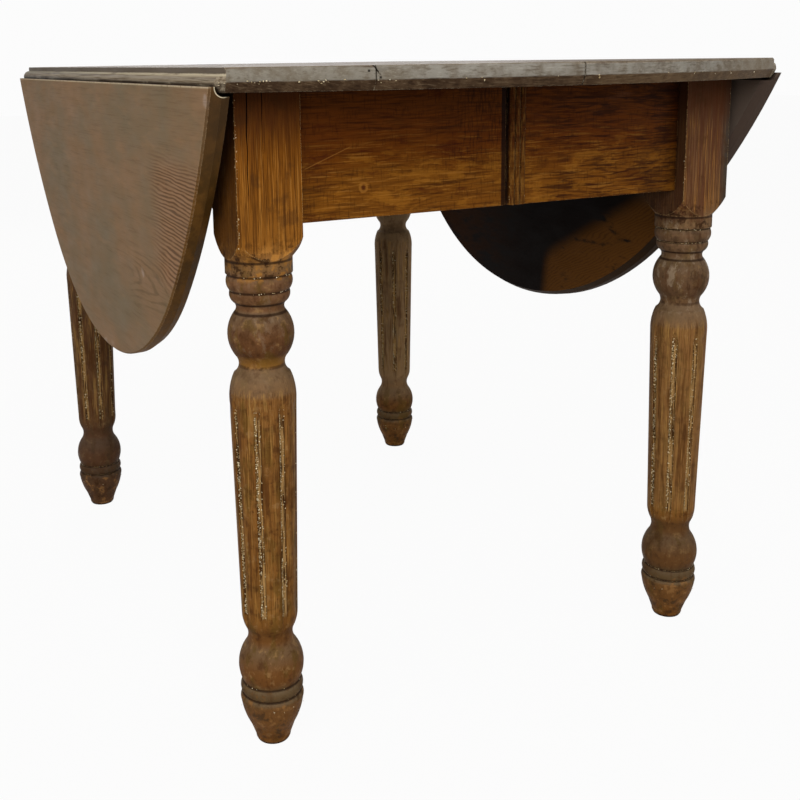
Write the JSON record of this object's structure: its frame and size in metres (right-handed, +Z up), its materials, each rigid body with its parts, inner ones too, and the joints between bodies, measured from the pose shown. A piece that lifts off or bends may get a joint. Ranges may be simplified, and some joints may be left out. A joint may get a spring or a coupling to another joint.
{
  "type": "drop-leaf table",
  "caption": "Oval drop-leaf table with rule-jointed hanging leaves, swinging fly brackets, turned and fluted legs, and a frame split at the centre that slides apart to lengthen the top.",
  "frame": {"origin": "on the floor under the middle of the closed table", "axes": "+X from the left leaf to the right leaf, the way the halves pull apart; +Y from front to back, along the leaves' hinge lines; +Z up"},
  "size_m": [0.7259, 1.066, 0.736],
  "materials": {
    "top_wood": "satin, worn",
    "leaf_wood": "satin, worn",
    "leg_wood": "satin, worn",
    "apron_wood": "satin, worn",
    "inner_wood": "matt, unfinished",
    "hinge_iron": "matt",
    "screw_steel": "dull"
  },
  "bodies": {
    "left_half": {"left_top_outer_board": "top_wood", "left_top_inner_board": "top_wood", "top_dowels": "inner_wood", "left_hinge_top_plates": "hinge_iron", "left_hinge_top_screws": "screw_steel", "left_hinge_pins": "hinge_iron", "left_side_apron": "inner_wood", "left_fly_rail": "inner_wood", "left_fly_pins": "hinge_iron", "left_glue_blocks": "inner_wood", "left_slide_screws": "screw_steel", "front_left_leg": "leg_wood", "front_left_apron": "apron_wood", "front_left_slide": "inner_wood", "back_left_leg": "leg_wood", "back_left_apron": "apron_wood", "back_left_slide": "inner_wood"},
    "right_half": {"right_top_board": "top_wood", "right_hinge_top_plates": "hinge_iron", "right_hinge_top_screws": "screw_steel", "right_hinge_pins": "hinge_iron", "right_side_apron": "inner_wood", "right_fly_rail": "inner_wood", "right_fly_pins": "hinge_iron", "right_glue_blocks": "inner_wood", "right_slide_screws": "screw_steel", "front_right_leg": "leg_wood", "front_right_apron": "apron_wood", "front_right_slide": "inner_wood", "back_right_leg": "leg_wood", "back_right_apron": "apron_wood", "back_right_slide": "inner_wood", "front_cover_strip": "apron_wood", "back_cover_strip": "apron_wood"},
    "middle_slides": {"front_middle_slide": "inner_wood", "back_middle_slide": "inner_wood"},
    "left_leaf": {"left_leaf": "leaf_wood", "left_hinge_leaf_plates": "hinge_iron", "left_hinge_leaf_screws": "screw_steel"},
    "right_leaf": {"right_leaf": "leaf_wood", "right_hinge_leaf_plates": "hinge_iron", "right_hinge_leaf_screws": "screw_steel"},
    "front_left_bracket": {"front_left_fly_bracket": "inner_wood"},
    "front_right_bracket": {"front_right_fly_bracket": "inner_wood"},
    "back_left_bracket": {"back_left_fly_bracket": "inner_wood"},
    "back_right_bracket": {"back_right_fly_bracket": "inner_wood"}
  },
  "joints": [
    {"name": "extension", "type": "slide", "parent": "left_half", "child": "right_half", "axis": [1, 0, 0], "range_m": [0, 0.6]},
    {"name": "middle_slide_travel", "type": "slide", "parent": "left_half", "child": "middle_slides", "axis": [1, 0, 0], "range_m": [0, 0.3]},
    {"name": "left_leaf_hinge", "type": "hinge", "parent": "left_half", "child": "left_leaf", "pos_m": [-0.347, 0, 0.72], "axis": [0, 1, 0], "range_deg": [0, 91.5]},
    {"name": "right_leaf_hinge", "type": "hinge", "parent": "right_half", "child": "right_leaf", "pos_m": [0.347, 0, 0.72], "axis": [0, -1, 0], "range_deg": [0, 94.5]},
    {"name": "front_left_bracket_swing", "type": "hinge", "parent": "left_half", "child": "front_left_bracket", "pos_m": [-0.298, -0.145, 0.666], "axis": [0, 0, -1], "range_deg": [0, 8]},
    {"name": "front_right_bracket_swing", "type": "hinge", "parent": "right_half", "child": "front_right_bracket", "pos_m": [0.298, -0.145, 0.666], "axis": [0, 0, 1], "range_deg": [0, 8]},
    {"name": "back_left_bracket_swing", "type": "hinge", "parent": "left_half", "child": "back_left_bracket", "pos_m": [-0.298, 0.145, 0.666], "axis": [0, 0, 1], "range_deg": [0, 8]},
    {"name": "back_right_bracket_swing", "type": "hinge", "parent": "right_half", "child": "back_right_bracket", "pos_m": [0.298, 0.145, 0.666], "axis": [0, 0, -1], "range_deg": [0, 8]}
  ],
  "couplings": [
    {"joint": "middle_slide_travel", "follows": "extension", "ratio": 0.5}
  ]
}
